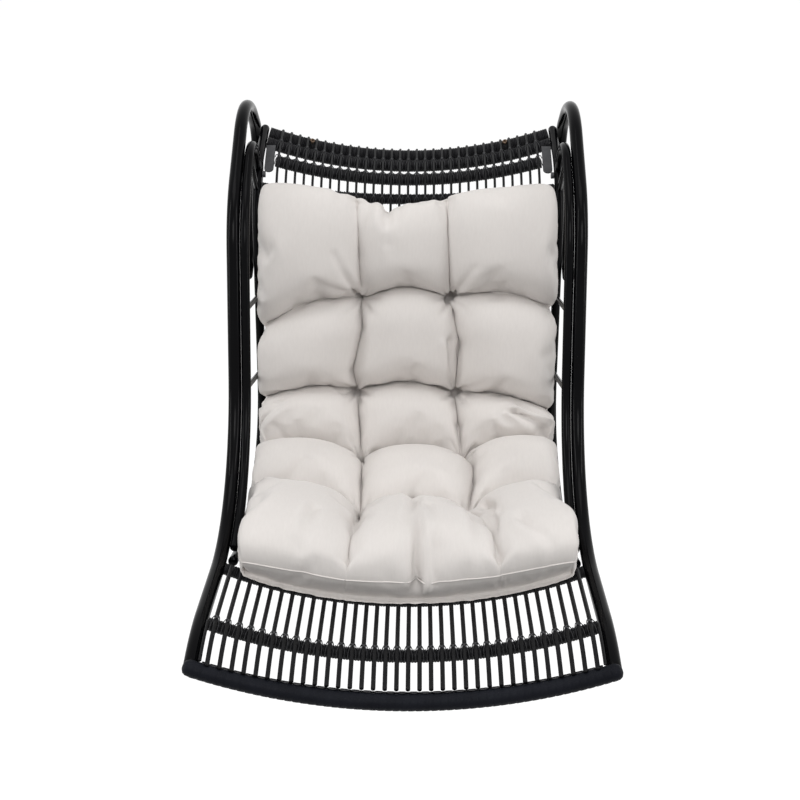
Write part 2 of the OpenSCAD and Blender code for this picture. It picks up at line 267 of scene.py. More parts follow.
class Sweeps:
    """Round bars gathered into one mesh, with UVs of turn round the bar and metres along it."""

    def __init__(self):
        self.vertices, self.faces, self.uvs = [], [], []
        self.count = 0

    def add(self, points, normals, radius, sides, round_ends=0.5):
        """A bar along points. radius is in metres: one number, or an array by point and side. Its
        ends are domes, round_ends of a radius high, or flat."""
        tangents = directions_along(points)
        binormals = np.cross(tangents, normals)
        lengths = lengths_along(points)
        radii = np.broadcast_to(radius, (len(points), sides))
        theta = np.linspace(0, TAU, sides, endpoint=False)[:, None]
        rings, marks = [], []

        def ring(i, scale, shift):
            spoke = np.cos(theta) * normals[i] + np.sin(theta) * binormals[i]
            rings.append(
                points[i] + tangents[i] * shift + spoke * (radii[i] * scale)[:, None]
            )
            marks.append(lengths[i] + shift)

        mean = radii.mean()
        domes = DOME if round_ends else ()
        for scale, height in domes:
            ring(0, scale, -height * round_ends * mean)
        for i in range(len(points)):
            ring(i, 1, 0)
        for scale, height in reversed(domes):
            ring(len(points) - 1, scale, height * round_ends * mean)
        base = self.count
        self.vertices.append(np.concatenate(rings))
        self.count += len(rings) * sides
        for i in range(len(rings) - 1):
            for j in range(sides):
                k = (j + 1) % sides
                a, b = base + i * sides, base + (i + 1) * sides
                self.faces.append((a + j, a + k, b + k, b + j))
                self.uvs.append(
                    (
                        (j / sides, marks[i]),
                        ((j + 1) / sides, marks[i]),
                        ((j + 1) / sides, marks[i + 1]),
                        (j / sides, marks[i + 1]),
                    )
                )
        for first, order in ((base, -1), (self.count - sides, 1)):
            self.faces.append(tuple(range(first, first + sides))[::order])
            mark = marks[0] if order < 0 else marks[-1]
            self.uvs.append(tuple((j / sides, mark) for j in range(sides))[::order])

    def object(self, name, material, slot):
        """The mesh as a piece that rides on the one body."""
        mesh = bpy.data.meshes.new(name)
        mesh.from_pydata(np.concatenate(self.vertices).tolist(), [], self.faces)
        layer = mesh.uv_layers.new(name="along")
        layer.data.foreach_set("uv", np.array([c for f in self.uvs for c in f]).ravel())
        mesh.materials.append(material)
        smooth(mesh)
        piece = linked(name, mesh)
        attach(piece, "root")
        return piece


# ---- Materials ----


class Shader:
    """A new material and short calls to wire its nodes."""

    def __init__(self, name, **sockets):
        self.material = bpy.data.materials.new(name)
        self.material.use_nodes = True
        self.tree = self.material.node_tree
        self.shader = self.tree.nodes["Principled BSDF"]
        for socket, value in sockets.items():
            self.shader.inputs[socket.replace("_", " ")].default_value = value

    def node(self, kind, inputs=None, **settings):
        made = self.tree.nodes.new("ShaderNode" + kind)
        for key, value in settings.items():
            setattr(made, key, value)
        for socket, value in (inputs or {}).items():
            if isinstance(value, bpy.types.NodeSocket):
                self.tree.links.new(value, made.inputs[socket])
            else:
                made.inputs[socket].default_value = value
        return made

    def math(self, operation, *values):
        return math_node(self.tree, operation, *values)

    def object_noise(self, scale, detail=2, stretch=(1, 1, 1)):
        """Noise in the object's own space, finer where stretch is larger."""
        spot = self.node("TexCoord").outputs["Object"]
        mapped = self.node("Mapping", {"Vector": spot, "Scale": stretch})
        return self.node(
            "TexNoise",
            {"Vector": mapped.outputs[0], "Scale": scale, "Detail": detail},
        ).outputs["Fac"]

    def uv(self):
        """The turn round a bar and the metres along it."""
        parts = self.node(
            "SeparateXYZ", {0: self.node("UVMap", uv_map="along").outputs[0]}
        )
        return parts.outputs["X"], parts.outputs["Y"]

    def colours(self, factor, dark, light, low=0.3, high=0.7):
        """The base colour, dark where the factor is low and light where it's high."""
        made = self.node("ValToRGB", {"Fac": factor})
        stops = zip(made.color_ramp.elements, (low, high), (dark, light))
        for element, position, colour in stops:
            element.position = position
            element.color = (*colour, 1)
        self.link(made.outputs["Color"], "Base Color")

    def spread(self, factor, low, high):
        """A factor about 0.5 turned into numbers from low to high."""
        return self.node(
            "MapRange",
            {"Value": factor, "From Min": 0.3, "From Max": 0.7, "To Min": low, "To Max": high},
        ).outputs["Result"]

    def link(self, value, socket):
        self.tree.links.new(value, self.shader.inputs[socket])

    def bump(self, height, depth, strength):
        """Relief of depth, in metres."""
        made = self.node("Bump", {"Height": height, "Distance": depth, "Strength": strength})
        self.link(made.outputs[0], "Normal")


def powder_coat():
    """Glossy black powder coat with a faint orange peel and dust in its roughness."""
    s = Shader("powder_coat_black", Specular_IOR_Level=0.06)
    s.colours(s.object_noise(9), (0.0012, 0.0012, 0.0016), (0.0022, 0.0022, 0.0028))
    s.link(s.spread(s.object_noise(60, 3), 0.12, 0.19), "Roughness")
    s.bump(s.object_noise(650), 0.00018, 0.35)
    return s.material


def rattan(name, dark, light):
    """Synthetic rattan: smooth extruded rod or cord with fine lines along it."""
    s = Shader(name, Specular_IOR_Level=0.12)
    turn, metres = s.uv()
    stretched = {0: s.math("MULTIPLY", turn, 9), 1: s.math("MULTIPLY", metres, 12)}
    vector = s.node("CombineXYZ", stretched).outputs[0]
    lines = s.node("TexNoise", {"Vector": vector, "Scale": 2.4, "Detail": 3}).outputs["Fac"]
    s.colours(lines, dark, light, 0.35, 0.65)
    s.link(s.spread(lines, 0.28, 0.4), "Roughness")
    s.bump(lines, 0.0004, 0.5)
    return s.material


def wound_cord():
    """Cord wound round a bar: ridges that climb as a screw, with a rough fibrous surface, and
    painted shade darkening the grooves between them.
    """
    pitch, depth = 0.0034, 0.0011
    s = Shader("wound_cord_black", Specular_IOR_Level=0.12)
    turn, metres = s.uv()
    wobble = s.math("MULTIPLY", s.object_noise(70), 0.35)
    phase = s.math("ADD", s.math("ADD", s.math("DIVIDE", metres, pitch), turn), wobble)
    wave = s.math("ABSOLUTE", s.math("SINE", s.math("MULTIPLY", phase, math.pi)))
    fibres = s.object_noise(900, 3)
    height = s.math("ADD", wave, s.math("MULTIPLY", fibres, 0.35))
    # Painted shade: the grooves between turns are darker and the ridge tops lighter.
    s.colours(wave, (0.003, 0.003, 0.0035), (0.014, 0.014, 0.016), 0.1, 0.9)
    s.link(s.spread(fibres, 0.38, 0.6), "Roughness")
    s.bump(height, depth, 0.9)
    return s.material


def banded_rail():
    """The front rail's wide bands, bluish black and fairly dull."""
    s = Shader("band_bluish_black", Specular_IOR_Level=0.08)
    grain = s.object_noise(420, 4)
    s.colours(s.object_noise(24, 3), (0.004, 0.0045, 0.007), (0.008, 0.009, 0.013))
    s.link(s.spread(grain, 0.42, 0.62), "Roughness")
    s.bump(grain, 0.0005, 0.6)
    return s.material


def bracket_paint():
    """Dull grey paint, a little patchy."""
    s = Shader("bracket_paint_grey", Specular_IOR_Level=0.4)
    s.colours(s.object_noise(40, 4), (0.03, 0.031, 0.034), (0.06, 0.06, 0.064))
    s.link(s.spread(s.object_noise(180, 3), 0.38, 0.6), "Roughness")
    s.bump(s.object_noise(700), 0.0003, 0.4)
    return s.material


def bronze():
    """Browned bronze of the nuts."""
    s = Shader("nut_bronze", Metallic=1.0)
    s.colours(s.object_noise(500, 4), (0.035, 0.024, 0.017), (0.21, 0.15, 0.11))
    s.link(s.spread(s.object_noise(300, 3), 0.35, 0.6), "Roughness")
    return s.material


def cloth():
    """Pale warm grey woven polyester, plain weave of 0.8 mm, with a soft sheen."""
    s = Shader("cushion_weave", Specular_IOR_Level=0.25, Sheen_Weight=0.25, Sheen_Roughness=0.5)
    spot = s.node("SeparateXYZ", {0: s.node("TexCoord").outputs["Object"]}).outputs
    thread = TAU / 0.0016
    warp = s.math("SINE", s.math("MULTIPLY", spot["X"], thread))
    weft = s.math("SINE", s.math("MULTIPLY", s.math("ADD", spot["Y"], spot["Z"]), thread))
    weave = s.math("MULTIPLY", warp, weft)
    slub = s.object_noise(260, 4, (1, 0.25, 0.25))
    height = s.math("ADD", s.math("MULTIPLY", weave, 0.5), slub)
    tone = s.math("ADD", s.math("MULTIPLY", weave, 0.06), slub)
    s.colours(tone, (0.672, 0.638, 0.612), (0.695, 0.661, 0.635))
    s.link(s.spread(slub, 0.8, 0.95), "Roughness")
    s.bump(height, 0.0004, 0.35)
    return s.material


# ---- Tubes, rails and rods ----


def bar_piece(name, replaced, runs, radius, look, sides):
    """Bars of one radius as a piece, in place of a CAD node. A run is (x, start, path), and look is
    a material and a slot name; the slot name is not used."""
    step = 6
    sweeps = Sweeps()
    for x, start, path in runs:
        sweeps.add(*path_points(x, start, path, step), radius * MM, sides)
    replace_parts(sweeps.object(name, *look), replaced)


def strand_run(x, start, path, radius=STRAND_R):
    """A rod's run at x, clear above the rails."""
    d = dish(x, RAIL_R + PLAY + radius)
    return x, beside(start, d), path_beside(path, d)


def row(count, pitch):
    """Places across of a row of rods."""
    return [pitch * (i - (count - 1) / 2) for i in range(count)]


def build_tubes(coat):
    look = (coat, "frame_black")
    inner_start = at(FRONT, HOOP, 2, INNER_SHARE)
    side_start = at(FRONT, SHELL, SEAT_RUN, 0)
    for side, word in ((-1, "left"), (1, "right")):
        hoop = [(side * HOOP_X, FRONT, HOOP)]
        bar_piece(f"hoop_tube_{word}", f"outer_hoop_{word}", hoop, HOOP_R, look, 48)
        inner = [(side * INNER_X, inner_start, INNER_HOOP)]
        bar_piece(f"inner_tube_{word}", f"inner_hoop_{word}", inner, INNER_R, look, 32)
        tube = [(side * SIDE_X, side_start, SHELL[SEAT_RUN:])]
        bar_piece(f"shell_tube_{word}", f"side_tube_{word}", tube, SIDE_R, look, 32)


def build_strands(material):
    look = (material, "strand_black")
    lip_r, lip_turn = SHELL[LIP]
    bend_r, bend_turn = SHELL[BEND]
    columns = row(STRAND_COUNT, STRAND_PITCH)

    start = along(FRONT, SHELL[LIP], -FRONT_ROD_SHARE)
    path = [(lip_r, (1 + FRONT_ROD_SHARE) * lip_turn), (SHELL[LIP_RUN][0] - END_GAP, 0)]
    runs = [
        strand_run(x, start, path, FRONT_STRAND_R) for x in row(FRONT_COUNT, FRONT_PITCH)
    ]
    bar_piece("front_panel_rods", "front_strands", runs, FRONT_STRAND_R, look, 16)

    start = along(FRONT, SHELL[LIP], -FRONT_SHARE)
    path = [(lip_r, (FRONT_SEAT_SHARE + FRONT_SHARE) * lip_turn)]
    edge_x = HOOP_RAIL_HALF - PLAY - STRAND_R
    runs = [strand_run(side * edge_x, start, path) for side in (-1, 1)]
    bar_piece("edge_rods_by_hoops", "edge_rods", runs, STRAND_R, look, 12)

    start = along(MIDDLE_SEAT_P, (END_GAP, 0), 1)
    path = SHELL[STEP:BEND] + [(bend_r, REAR_SEAT_SHARE * bend_turn)]
    runs = [strand_run(x, start, path) for x in columns]
    bar_piece("seat_rods", "seat_strands", runs, STRAND_R, look, 12)

    start_share = REAR_SEAT_SHARE + END_SHARE
    start = at(FRONT, SHELL, BEND, start_share)
    path = [
        (bend_r, (1 - start_share) * bend_turn),
        SHELL[BACK],
        SHELL[ROLL],
        (TOP_RAIL_RUN, 0),
    ]
    runs = []
    for x in columns:
        _, rod_start, rod_path = strand_run(x, start, path)
        wrap_r = dish(x, -TOP_RAIL_LOWER) - dish(x, RAIL_R + PLAY + STRAND_R)
        runs.append((x, rod_start, rod_path + [(wrap_r, WRAP_TURN)]))
    bar_piece("back_rods", "back_strands", runs, STRAND_R, look, 12)


# Name, state, radius, half its width, and how far it lies below the other rails
RAILS = [
    ("front_seat_rail", FRONT_SEAT_P, RAIL_R, HOOP_RAIL_HALF, 0),
    ("middle_seat_rail", MIDDLE_SEAT_P, RAIL_R, HOOP_RAIL_HALF, 0),
    ("bowl_rail", BOWL_P, RAIL_R, SIDE_RAIL_HALF, 0),
    ("rear_seat_rail", REAR_SEAT_P, RAIL_R, SIDE_RAIL_HALF, 0),
    ("back_rail", BACK_P, RAIL_R, SIDE_RAIL_HALF, 0),
    ("upper_back_rail", UPPER_BACK_P, RAIL_R, SIDE_RAIL_HALF, 0),
    ("third_rail", THIRD_P, RAIL_R, THIRD_RAIL_HALF, 0),
    ("second_rail", SECOND_P, RAIL_R, SIDE_RAIL_HALF, 0),
    ("top_rail", TOP_RAIL_P, TOP_RAIL_R, SIDE_RAIL_HALF, TOP_RAIL_LOWER),
]


# Cord on the rails: its pitch, its ridges' depth, and how far they stand out from a rail. It's
# thicker on the three rails at the head.
WIND_PITCH, WIND_DEPTH = 4.6, 1.6
WIND_LUMPS, HEAD_LUMPS = 0.6, 2.3
HEAD_RAILS = ("top_rail", "second_rail", "third_rail")
# Bands of the front rail
BAND_PITCH, BAND_DEPTH, BAND_POWER = 12, 1.0, 5


def screw(lengths, pitch, sides):
    """By point and side, the turns of a screw of a pitch along a bar."""
    return lengths[:, None] / (pitch * MM) + np.linspace(0, 1, sides, endpoint=False)


def wound_radii(points, radius, sides):
    """Radii in metres of a bar with cord wound round it."""
    turns = screw(lengths_along(points), WIND_PITCH, sides)
    ridge = np.sqrt(1 - (2 * (turns % 1) - 1) ** 2)
    return (radius - WIND_DEPTH * (1 - ridge)) * MM


def band_radii(points, sides):
    """Radii in metres of the front rail: wide bands, each lapped over the last."""
    lengths = np.linspace(0, 1, len(points)) * 2 * HOOP_X * MM
    turns = screw(lengths, BAND_PITCH, sides)
    return (FRONT_RAIL_R - BAND_DEPTH * (turns % 1) ** BAND_POWER) * MM


def build_rails(winding, banding):
    sides, step = 20, 0.8
    for name, state, radius, half, lower in RAILS:
        points, outward = rail_points(state, half, lower, step)
        lumps = HEAD_LUMPS if name in HEAD_RAILS else WIND_LUMPS
        sweeps = Sweeps()
        sweeps.add(points, outward, wound_radii(points, radius + lumps, sides), sides, 0)
        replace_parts(sweeps.object(f"wound_{name}", winding, "frame_black"), name)
    sides, step, inset = 36, 1.5, 2
    points, outward = rail_points(FRONT_RAIL_P, HOOP_X - inset, 0, step)
    sweeps = Sweeps()
    sweeps.add(points, outward, band_radii(points, sides), sides, 1)
    front = sweeps.object("banded_front_rail", banding, "frame_black")
    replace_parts(front, "front_rail", "front_cap_left", "front_cap_right")


def smooth_step(t):
    t = np.clip(t, 0, 1)
    return t * t * (3 - 2 * t)


def build_lashings(material):
    """Two crossed turns of cord tie each rod to each rail, and a knot sits between two rods."""
    cord_r, knot_r = 0.9, 1.5
    sweeps = Sweeps()
    way = np.linspace(-1, 1, 21)
    knot = np.linspace(-0.16, 0.16, 5)
    for name, state, radius, _, _ in RAILS[:-1]:
        directions = forward_and_down(state[2])
        front = name == "front_seat_rail"
        rod_r = FRONT_STRAND_R if front else STRAND_R
        count, pitch = (FRONT_COUNT, FRONT_PITCH) if front else (STRAND_COUNT, STRAND_PITCH)
        # From under the rail the cord rises beside the rod, and goes over it at the middle
        under = radius + cord_r + (1.8 if name in HEAD_RAILS else 0.2)
        clear = rod_r + cord_r
        shift = (clear + 1.8) * np.tanh(3 * way)
        on_rod = RAIL_R + PLAY + rod_r + np.sqrt(np.maximum(clear**2 - shift**2, 0))
        rho = under + (on_rod - under) * smooth_step((clear + 1.5 - np.abs(shift)) / 1.5)
        angles = 0.5 * np.tanh(3 * way) + 1.1 * way**3
        for x in row(count, pitch):
            for lean in (-1, 1):
                turn_round(sweeps, state, x, (lean * angles, rho, shift), directions, cord_r)
            if front and x + pitch / 2 < HOOP_RAIL_HALF - 12:
                rest = (knot, under + 0.3 + 0 * knot, 0 * knot)
                turn_round(sweeps, state, x + pitch / 2, rest, directions, knot_r)
    sweeps.object("rod_lashings", material, "strand_black")


def turn_round(sweeps, state, x, turn, directions, cord_r):
    """Cord round a rail near x: angles round it, distances from its middle, and shifts along it."""
    angles, rho, shift = turn
    forward, down = directions
    slope = x / (DISH_R - RAIL_R - STRAND_R)
    inward = -np.array([slope, 0, 0]) - down * math.sqrt(1 - slope**2)
    foot = slope * DISH_R
    centre = place(foot, state[0], state[1]) + down * dish(foot) * MM
    points = centre + MM * (
        np.outer(rho * np.cos(angles), inward)
        + np.outer(rho * np.sin(angles), forward)
        + np.outer(shift, np.cross(inward, forward))
    )
    sweeps.add(points, curve_normals(points), cord_r * MM, 5)


def build_front_cord(dark, light):
    """Cord binds the rods' ends to the front rail and hangs slack between each two. A thin lighter
    grey line laid beside it is a painted highlight.
    """
    half = HOOP_X - 19
    x = np.linspace(-half, half, 1100)
    near_rod = (0.5 - 0.5 * np.cos(TAU * (x / FRONT_PITCH))) ** 2
    slope = x / DISH_R
    # Name, material, the cord's radius, its turn round the rail between two rods, how much further
    # it goes at a rod, and how far it lies off the rail
    for name, material, cord_r, start, swing, off in (
        ("front_rail_binding", dark, 2.3, 40, 34, 0),
        # Painted highlight: a thin lighter grey line beside the dark binding
        ("front_rail_painted_highlight", light, 0.8, 22, 22, 1.5),
    ):
        angle = np.radians(start + swing * near_rod)
        rho = FRONT_RAIL_R + 0.6 * cord_r + off
        y = FRONT_RAIL_P[0] + rho * np.sin(angle)
        z = FRONT_RAIL_P[1] - dish(x) + rho * np.cos(angle) * np.sqrt(1 - slope**2)
        points = np.stack([x, y - TOP_Y, z - TOP_Z], axis=1) * MM
        sweeps = Sweeps()
        sweeps.add(points, curve_normals(points), cord_r * MM, 8)
        sweeps.object(name, material, "strand_black")


# ---- Cushion ----

# Length along the shell at which the cushion starts, its own length, half its width, how far its
# base lies above the shell, and its height at the edge and at the crown
CUSHION_START, CUSHION_LENGTH, CUSHION_HALF_W = 223, 1083, 301
CUSHION_LIFT = RAIL_R + PLAY + 2 * FRONT_STRAND_R + 1
CUSHION_EDGE, CUSHION_CROWN = 40, 108
# Points are (distance from the middle, length along the shell). A row of creases goes across,
# through two tufts; a column goes along, through four.
TUFT_ROWS = [
    ((-87, 541), (118, 525)),
    ((-91, 720), (113, 725)),
    ((-104, 887), (102, 884)),
    ((-93, 1086), (88, 1087)),
]
TUFTS = [tuft for pair in TUFT_ROWS for tuft in pair]
CREASE_ROWS = [
    ((-300, 552), *TUFT_ROWS[0], (300, 556)),
    ((-300, 716), *TUFT_ROWS[1], (300, 730)),
    ((-300, 874), *TUFT_ROWS[2], (300, 838)),
    ((-300, 1034), *TUFT_ROWS[3], (300, 1078)),
]
CREASE_COLUMNS = [
    (
        (-98, 220),
        (-87, 541),
        (-91, 720),
        (-104, 887),
        (-110, 943),
        (-93, 1026),
        (-93, 1086),
        (-104, 1310),
    ),
    (
        (165, 220),
        (118, 525),
        (133, 619),
        (134, 680),
        (113, 725),
        (102, 884),
        (105, 1005),
        (88, 1087),
        (78, 1310),
    ),
]
# How far a row of creases bows toward the head between two tufts
BOW = 23
# Folds pressed into the filled cover: from a point (x, length) to a point, deepest at the first,
# with a depth that FOLD_DEPTH multiplies, and a width in mm
FOLD_DEPTH = 2.1
FOLDS = [
    (-103, 1099, -150, 1189, 5, 7),
    (-103, 1099, -181, 1135, 4, 8),
    (86, 1087, 135, 1165, 5, 8),
    (86, 1087, 156, 1123, 3.5, 8),
    (-39, 1300, -38, 1208, 5, 9),
    (-70, 1300, -92, 1184, 3.5, 10),
    (-13, 1290, -27, 1191, 3, 10),
    (61, 1300, 73, 1232, 3, 10),
    (39, 1300, 49, 1243, 1.5, 9),
    (-142, 1300, -126, 1242, 2, 10),
    (84, 1005, 92, 918, 6, 7),
    (-104, 883, -160, 933, 3, 8),
    (99, 882, 164, 935, 3.5, 8),
    (-295, 758, -254, 835, 5, 8),
    (-290, 842, -252, 867, 4, 7),
    (217, 823, 286, 736, 9, 8),
    (231, 849, 294, 795, 5, 7),
    (-91, 709, -118, 803, 4, 8),
    (112, 706, 193, 741, 3, 8),
    (-275, 516, -198, 630, 6, 8),
    (-203, 522, -130, 585, 3, 8),
    (-89, 431, -80, 257, 4, 9),
    (13, 560, 10, 394, 7, 9),
    (21, 448, 0, 238, 6, 8),
    (22, 224, 24, 400, 13, 9),
    (41, 391, 50, 256, 5, 8),
    (146, 481, 177, 344, 11, 8),
    (154, 402, 164, 238, 8, 8),
    (117, 510, 176, 507, 3, 7),
    (205, 300, 247, 238, 5, 8),
    (115, 365, 125, 240, 5, 8),
    (-165, 330, -176, 240, 4, 9),
    (-83, 493, -146, 535, 3, 8),
]


def cushion_spot(x, length, h):
    """Metres in the object's frame of a point of the cushion h above its base."""
    y, z, _ = beside(at_length(FRONT, SHELL, length), dish(x, CUSHION_LIFT) - h)
    return place(x, y, z)


def bowed(x, line):
    """Length along the shell of a row at x, which bows toward the head between its points."""
    spots, lengths = zip(*line)
    cell = sum(x > spot for spot in spots[1:-1])
    share = (x - spots[cell]) / (spots[cell + 1] - spots[cell])
    return np.interp(x, spots, lengths) + BOW * math.sin(math.pi * np.clip(share, 0, 1))


def creases(x, length):
    """Lengths of the rows of creases at x, and distances across of the columns at a length."""
    rows = [bowed(x, line) for line in CREASE_ROWS]
    columns = [
        np.interp(length, [l for _, l in line], [c for c, _ in line])
        for line in CREASE_COLUMNS
    ]
    return rows, columns


def nearest_creases(x, length):
    """Distances to the nearest row and to the nearest column of creases."""
    rows, columns = creases(x, length)
    return min(abs(length - line) for line in rows), min(abs(x - line) for line in columns)


def spaced(edges, t):
    """A point at t, from 0 to 1, over as many cells as edges bound, closer set near the edges."""
    t *= len(edges) - 1
    cell = min(int(t + 1e-9), len(edges) - 2)
    share = t - cell
    share += 0.6 * ((1 - math.cos(math.pi * share)) / 2 - share)
    return edges[cell] + share * (edges[cell + 1] - edges[cell])


def bell(distance, width):
    """1 at no distance, and falls off over a width."""
    return np.exp(-((distance / width) ** 2))


def pillow(distance, width):
    """Rises as a round pillow from 0 on a crease to 1 at its width."""
    return math.sqrt(1 - (1 - min(distance / width, 1)) ** 2)


def cover_height(u, v, x, length):
    """Height of the cover at u across and v along, both from -1 to 1."""
    fade = (1 - abs(u) ** 7) * (1 - abs(v) ** 12)
    front_corner = abs(u) ** 6 * (1 - smooth_step((length - 240) / 90))
    edge = CUSHION_EDGE - 22 * front_corner
    crown = (CUSHION_CROWN - edge) * math.sqrt(max(fade, 0))
    row_gap, column_gap = nearest_creases(x, length)
    pillow_w = 75
    middle = 1 - smooth_step((abs(length - 800) - 270) / 150)
    across = 1 - 0.62 * (1 - pillow(row_gap, pillow_w))
    lengthwise = 1 - (0.30 + 0.25 * middle) * (1 - pillow(column_gap, pillow_w))
    return (edge + crown) * (1 + (across * lengthwise - 1) * min(1, 2.4 * fade))


def cushion_outline(u, v):
    """Distance across and length along of a point of the cover's plan. Lines of equal u or v run
    along the creases; the corners are rounded, and the sides pulled in at the rows."""
    x, length = CUSHION_HALF_W * u, CUSHION_START + (v + 1) / 2 * CUSHION_LENGTH
    for _ in range(5):
        rows, columns = creases(x, length)
        front = 1 - smooth_step((length - 300) / 160)
        left, right = CUSHION_HALF_W - 4 * front, CUSHION_HALF_W + 9 * front
        x = spaced([-left, *columns, right], (u + 1) / 2)
        dip = 9 * (1 - u * u) + 20 * bell(x + 20, 120) + 14 * bell(x + 39, 15)
        head = CUSHION_START + CUSHION_LENGTH - dip
        length = spaced([CUSHION_START, *rows, head], (v + 1) / 2)
    near = min(abs(length - line) for line in rows)
    corner = abs(u * v) ** 9
    middle = CUSHION_START + CUSHION_LENGTH / 2
    x *= 1 - 0.075 * corner - 0.045 * abs(u) ** 9 * bell(near, 22)
    return x, middle + (length - middle) * (1 - 0.035 * corner)


def sewn_share(x, length, inside, level):
    """How firmly a point of the cover is held while it's filled. inside is 1 at the rim."""
    if level == 0:
        return 1.0 if inside < 0.9 else 0.6
    if inside == 1:
        return 0.35
    if tuft_gap(x, length) < 6:
        return 1.0
    row_gap, column_gap = nearest_creases(x, length)
    return 0.5 * bell(row_gap, 3) + 0.35 * bell(column_gap, 3)


def tuft_gap(x, length):
    return min(math.hypot(x - tx, length - tl) for tx, tl in TUFTS)


def build_cushion():
    """The cushion, and the lines of points of its upper and lower seams."""
    across, along_count, wall = 84, 140, 4
    tuft_depth, rim_bulge, front_slant = 12, 1.5, 27
    vertices, faces, pins, spots = [], [], [], []
    index = {}

    def vertex(i, j, level):
        """level 0 is the bottom, wall the cover; between them only the rim has vertices."""
        key = (i, j, level)
        if key in index:
            return index[key]
        u, v = 2 * j / across - 1, 2 * i / along_count - 1
        inside = max(abs(u), abs(v))
        x, length = cushion_outline(u, v)
        h = cover_height(u, v, x, length) * level / wall
        if inside == 1:
            bulge = rim_bulge * math.sin(math.pi * level / wall)
            x += u**9 * bulge
            length += v**9 * bulge + (front_slant * (1 - level / wall) if v == -1 else 0)
        elif level:
            h -= tuft_depth * bell(tuft_gap(x, length), 10)
        index[key] = len(vertices)
        vertices.append(cushion_spot(x, length, h))
        pins.append(min(sewn_share(x, length, inside, level), 1.0))
        spots.append((x, length, level / wall))
        return index[key]

    for i in range(along_count):
        for j in range(across):
            corners = ((i, j), (i, j + 1), (i + 1, j + 1), (i + 1, j))
            faces.append(tuple(vertex(a, b, wall) for a, b in corners))
            faces.append(tuple(vertex(a, b, 0) for a, b in reversed(corners)))
    rim = (
        [(0, j) for j in range(across)]
        + [(i, across) for i in range(along_count)]
        + [(along_count, j) for j in range(across, 0, -1)]
        + [(i, 0) for i in range(along_count, 0, -1)]
    )
    for here, there in zip(rim, rim[1:] + rim[:1]):
        for level in range(wall):
            upper = level + 1
            ring = ((here, level), (there, level), (there, upper), (here, upper))
            faces.append(tuple(vertex(*spot, height) for spot, height in ring))
    loops = [[index[(*spot, level)] for spot in rim] for level in (wall, 0)]
    mesh = bpy.data.meshes.new("tufted_cushion")
    mesh.from_pydata([tuple(v) for v in vertices], [], faces)
    smooth(mesh)
    cushion = linked("tufted_cushion", mesh)
    inflate(cushion, pins)
    fold_cover(cushion, spots)
    seams = [np.array([cushion.data.vertices[i].co[:] for i in loop]) for loop in loops]
    return cushion, seams


def fold_cover(cushion, spots):
    """Each face is divided in four, and the folds are pressed into the finer cover. spots are the
    points' distances across, lengths along, and heights from the bottom, 0, to the cover, 1."""
    names = ("across", "length", "cover")
    for name, values in zip(names, zip(*spots)):
        attribute = cushion.data.attributes.new(name, "FLOAT", "POINT")
        attribute.data.foreach_set("value", values)
    finer = cushion.modifiers.new("finer", "SUBSURF")
    finer.levels = 1
    depsgraph = bpy.context.evaluated_depsgraph_get()
    cushion.data = bpy.data.meshes.new_from_object(cushion.evaluated_get(depsgraph))
    cushion.modifiers.remove(finer)
    mesh = cushion.data
    count = len(mesh.vertices)
    x, length, cover = (np.empty(count) for _ in names)
    for name, values in zip(names, (x, length, cover)):
        mesh.attributes[name].data.foreach_get("value", values)
        mesh.attributes.remove(mesh.attributes[name])
    depth = fold_depths(x, length) * np.clip(cover * 3 - 1.2, 0, 1) * MM
    places, normals = np.empty(3 * count), np.empty(3 * count)
    mesh.vertices.foreach_get("co", places)
    mesh.vertices.foreach_get("normal", normals)
    mesh.vertices.foreach_set("co", places - normals * np.repeat(depth, 3))
    smooth(mesh)


def fold_depths(x, length):
    """How deep the cover is pressed in at each point, by its folds and by the tufts' pleats."""
    depth = np.zeros(len(x))
    for x0, l0, x1, l1, deep, wide in FOLDS:
        dx, dl = x1 - x0, l1 - l0
        whole = math.hypot(dx, dl)
        share = ((x - x0) * dx + (length - l0) * dl) / whole**2
        off = ((x - x0) * dl - (length - l0) * dx) / whole
        beyond = np.maximum(np.maximum(-share, share - 1), 0) * whole
        taper = np.clip(1 - share, 0.25, 1) * bell(beyond, 9)
        # A groove with a ridge beside it
        groove = bell(off, wide) - 0.4 * bell(off - 1.8 * wide, wide)
        depth += FOLD_DEPTH * deep * taper * groove
    pleat_depth, pleat_r, pleat_w = 5, 24, 16
    for tx, tl in TUFTS:
        r = np.hypot(x - tx, length - tl)
        turn = np.arctan2(length - tl, x - tx)
        pleat = np.abs(np.sin(3.5 * turn + tx)) ** 5
        depth += pleat_depth * pleat * bell(r - pleat_r, pleat_w)
    return depth


def inflate(cushion, pins):
    """The cover is filled: a cloth under pressure, held where it is sewn. No point moves further
    than most."""
    most, frames = 40 * MM, 22
    group = cushion.vertex_groups.new(name="sewn")
    for i, weight in enumerate(pins):
        group.add([i], weight, "REPLACE")
    modifier = cushion.modifiers.new("filling", "CLOTH")
    settings = modifier.settings
    settings.quality = 6
    settings.mass = 0.25
    settings.tension_stiffness = 12
    settings.compression_stiffness = 12
    settings.shear_stiffness = 4
    settings.bending_stiffness = 0.4
    settings.shrink_min = -0.06
    settings.use_pressure = True
    settings.uniform_pressure_force = 4.5
    settings.vertex_group_mass = "sewn"
    settings.effector_weights.gravity = 0
    modifier.collision_settings.use_collision = False
    scene = bpy.context.scene
    for step in range(1, frames + 1):
        scene.frame_set(step)
    depsgraph = bpy.context.evaluated_depsgraph_get()
    settled = cushion.evaluated_get(depsgraph).to_mesh()
    filled = np.empty(3 * len(settled.vertices))
    settled.vertices.foreach_get("co", filled)
    cushion.modifiers.remove(modifier)
    sewn = np.empty(len(filled))
    cushion.data.vertices.foreach_get("co", sewn)
    moves = (filled - sewn).reshape(-1, 3)
    far = np.linalg.norm(moves, axis=1)
    moves *= np.minimum(1, most / np.maximum(far, MM))[:, None]
    cushion.data.vertices.foreach_set("co", sewn + moves.ravel())
    cushion.data.update()
    scene.frame_set(1)


